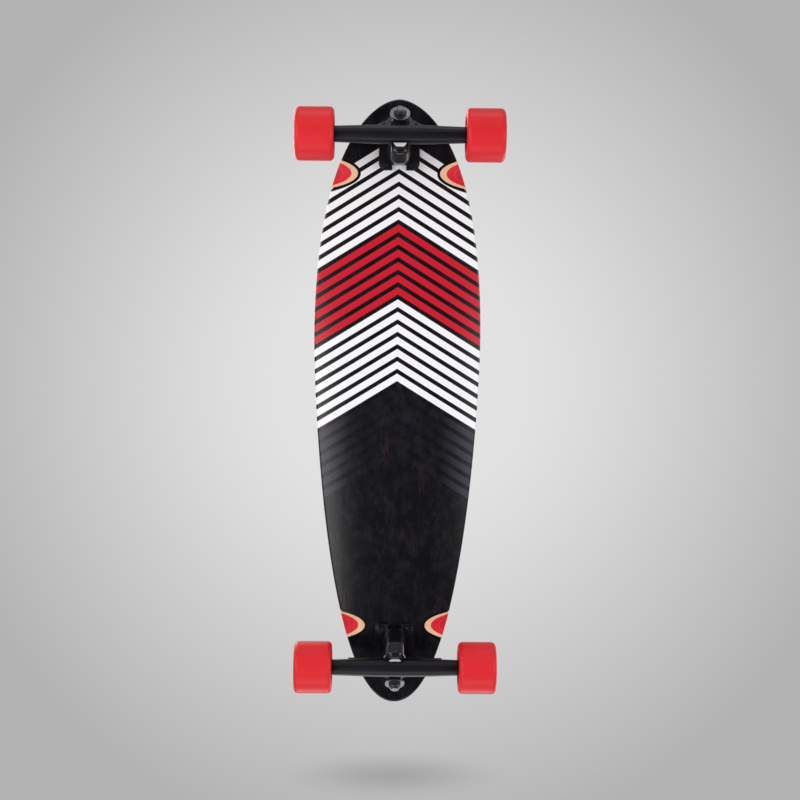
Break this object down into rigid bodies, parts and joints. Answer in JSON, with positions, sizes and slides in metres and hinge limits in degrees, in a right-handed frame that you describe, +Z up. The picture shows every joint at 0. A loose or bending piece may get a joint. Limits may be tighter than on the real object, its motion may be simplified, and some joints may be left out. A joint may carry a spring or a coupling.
{
  "type": "longboard skateboard",
  "caption": "Longboard skateboard with a pressed wooden deck, wheel wells, steering trucks and soft red wheels.",
  "frame": {"origin": "on the ground, under the middle of the deck", "axes": "+X across the board, +Y along it towards the nose, +Z up from the ground to the deck"},
  "size_m": [0.274, 0.838, 0.1211],
  "materials": {
    "deck_wood": "gloss lacquer over printed black, red dyed plies",
    "grip": "black abrasive tape",
    "truck_black": "black coated casting",
    "steel": "zinc plated",
    "black_steel": "black zinc",
    "bushing_black": "cast urethane",
    "wheel_red": "cast urethane",
    "core_plastic": "moulded nylon"
  },
  "bodies": {
    "board": {"deck": "deck_wood", "grip_tape": "grip", "front_baseplate": "truck_black", "front_pivot_cup": "bushing_black", "front_kingpin": "black_steel", "front_kingpin_nut": "steel", "front_boardside_bushing": "bushing_black", "front_roadside_bushing": "bushing_black", "front_boardside_washer": "steel", "front_roadside_washer": "steel", "front_mounting_bolts": "black_steel", "front_mounting_nuts": "black_steel", "rear_baseplate": "truck_black", "rear_pivot_cup": "bushing_black", "rear_kingpin": "black_steel", "rear_kingpin_nut": "steel", "rear_boardside_bushing": "bushing_black", "rear_roadside_bushing": "bushing_black", "rear_boardside_washer": "steel", "rear_roadside_washer": "steel", "rear_mounting_bolts": "black_steel", "rear_mounting_nuts": "black_steel"},
    "front_right_wheel": {"front_right_wheel_tyre": "wheel_red", "front_right_wheel_core": "core_plastic", "front_right_wheel_bearing_outer_races": "steel", "front_right_wheel_bearing_shields": "steel"},
    "front_right_wheel_balls": {"front_right_wheel_bearing_balls": "steel"},
    "front_left_wheel": {"front_left_wheel_tyre": "wheel_red", "front_left_wheel_core": "core_plastic", "front_left_wheel_bearing_outer_races": "steel", "front_left_wheel_bearing_shields": "steel"},
    "front_left_wheel_balls": {"front_left_wheel_bearing_balls": "steel"},
    "front_hanger": {"front_hanger": "truck_black", "front_axle": "steel", "front_axle_nuts": "steel", "front_speed_rings": "steel", "front_bearing_spacers": "steel", "front_right_wheel_bearing_inner_races": "steel", "front_left_wheel_bearing_inner_races": "steel"},
    "rear_right_wheel": {"rear_right_wheel_tyre": "wheel_red", "rear_right_wheel_core": "core_plastic", "rear_right_wheel_bearing_outer_races": "steel", "rear_right_wheel_bearing_shields": "steel"},
    "rear_right_wheel_balls": {"rear_right_wheel_bearing_balls": "steel"},
    "rear_left_wheel": {"rear_left_wheel_tyre": "wheel_red", "rear_left_wheel_core": "core_plastic", "rear_left_wheel_bearing_outer_races": "steel", "rear_left_wheel_bearing_shields": "steel"},
    "rear_left_wheel_balls": {"rear_left_wheel_bearing_balls": "steel"},
    "rear_hanger": {"rear_hanger": "truck_black", "rear_axle": "steel", "rear_axle_nuts": "steel", "rear_speed_rings": "steel", "rear_bearing_spacers": "steel", "rear_right_wheel_bearing_inner_races": "steel", "rear_left_wheel_bearing_inner_races": "steel"}
  },
  "joints": [
    {"name": "front_steer", "type": "hinge", "parent": "board", "child": "front_hanger", "pos_m": [0, 0.35951, 0.04349], "axis": [0, 0.7071, 0.7071], "range_deg": [-18, 18], "stiffness_Nm_per_rad": 60, "deforming": ["front_boardside_bushing", "front_roadside_bushing"]},
    {"name": "front_right_wheel_spin", "type": "hinge", "parent": "front_hanger", "child": "front_right_wheel", "pos_m": [0, 0.368, 0.035], "axis": [1, 0, 0], "continuous": true},
    {"name": "front_right_wheel_ball_roll", "type": "hinge", "parent": "front_hanger", "child": "front_right_wheel_balls", "pos_m": [0, 0.368, 0.035], "axis": [1, 0, 0], "continuous": true},
    {"name": "front_left_wheel_spin", "type": "hinge", "parent": "front_hanger", "child": "front_left_wheel", "pos_m": [0, 0.368, 0.035], "axis": [1, 0, 0], "continuous": true},
    {"name": "front_left_wheel_ball_roll", "type": "hinge", "parent": "front_hanger", "child": "front_left_wheel_balls", "pos_m": [0, 0.368, 0.035], "axis": [1, 0, 0], "continuous": true},
    {"name": "rear_steer", "type": "hinge", "parent": "board", "child": "rear_hanger", "pos_m": [0, -0.33952, 0.04349], "axis": [0, -0.7071, 0.7071], "range_deg": [-18, 18], "stiffness_Nm_per_rad": 60, "deforming": ["rear_boardside_bushing", "rear_roadside_bushing"]},
    {"name": "rear_right_wheel_spin", "type": "hinge", "parent": "rear_hanger", "child": "rear_right_wheel", "pos_m": [0, -0.348, 0.035], "axis": [1, 0, 0], "continuous": true},
    {"name": "rear_right_wheel_ball_roll", "type": "hinge", "parent": "rear_hanger", "child": "rear_right_wheel_balls", "pos_m": [0, -0.348, 0.035], "axis": [1, 0, 0], "continuous": true},
    {"name": "rear_left_wheel_spin", "type": "hinge", "parent": "rear_hanger", "child": "rear_left_wheel", "pos_m": [0, -0.348, 0.035], "axis": [1, 0, 0], "continuous": true},
    {"name": "rear_left_wheel_ball_roll", "type": "hinge", "parent": "rear_hanger", "child": "rear_left_wheel_balls", "pos_m": [0, -0.348, 0.035], "axis": [1, 0, 0], "continuous": true}
  ],
  "couplings": [
    {"joint": "front_right_wheel_ball_roll", "follows": "front_right_wheel_spin", "ratio": 0.63059},
    {"joint": "front_left_wheel_ball_roll", "follows": "front_left_wheel_spin", "ratio": 0.63059},
    {"joint": "rear_right_wheel_ball_roll", "follows": "rear_right_wheel_spin", "ratio": 0.63059},
    {"joint": "rear_left_wheel_ball_roll", "follows": "rear_left_wheel_spin", "ratio": 0.63059}
  ]
}
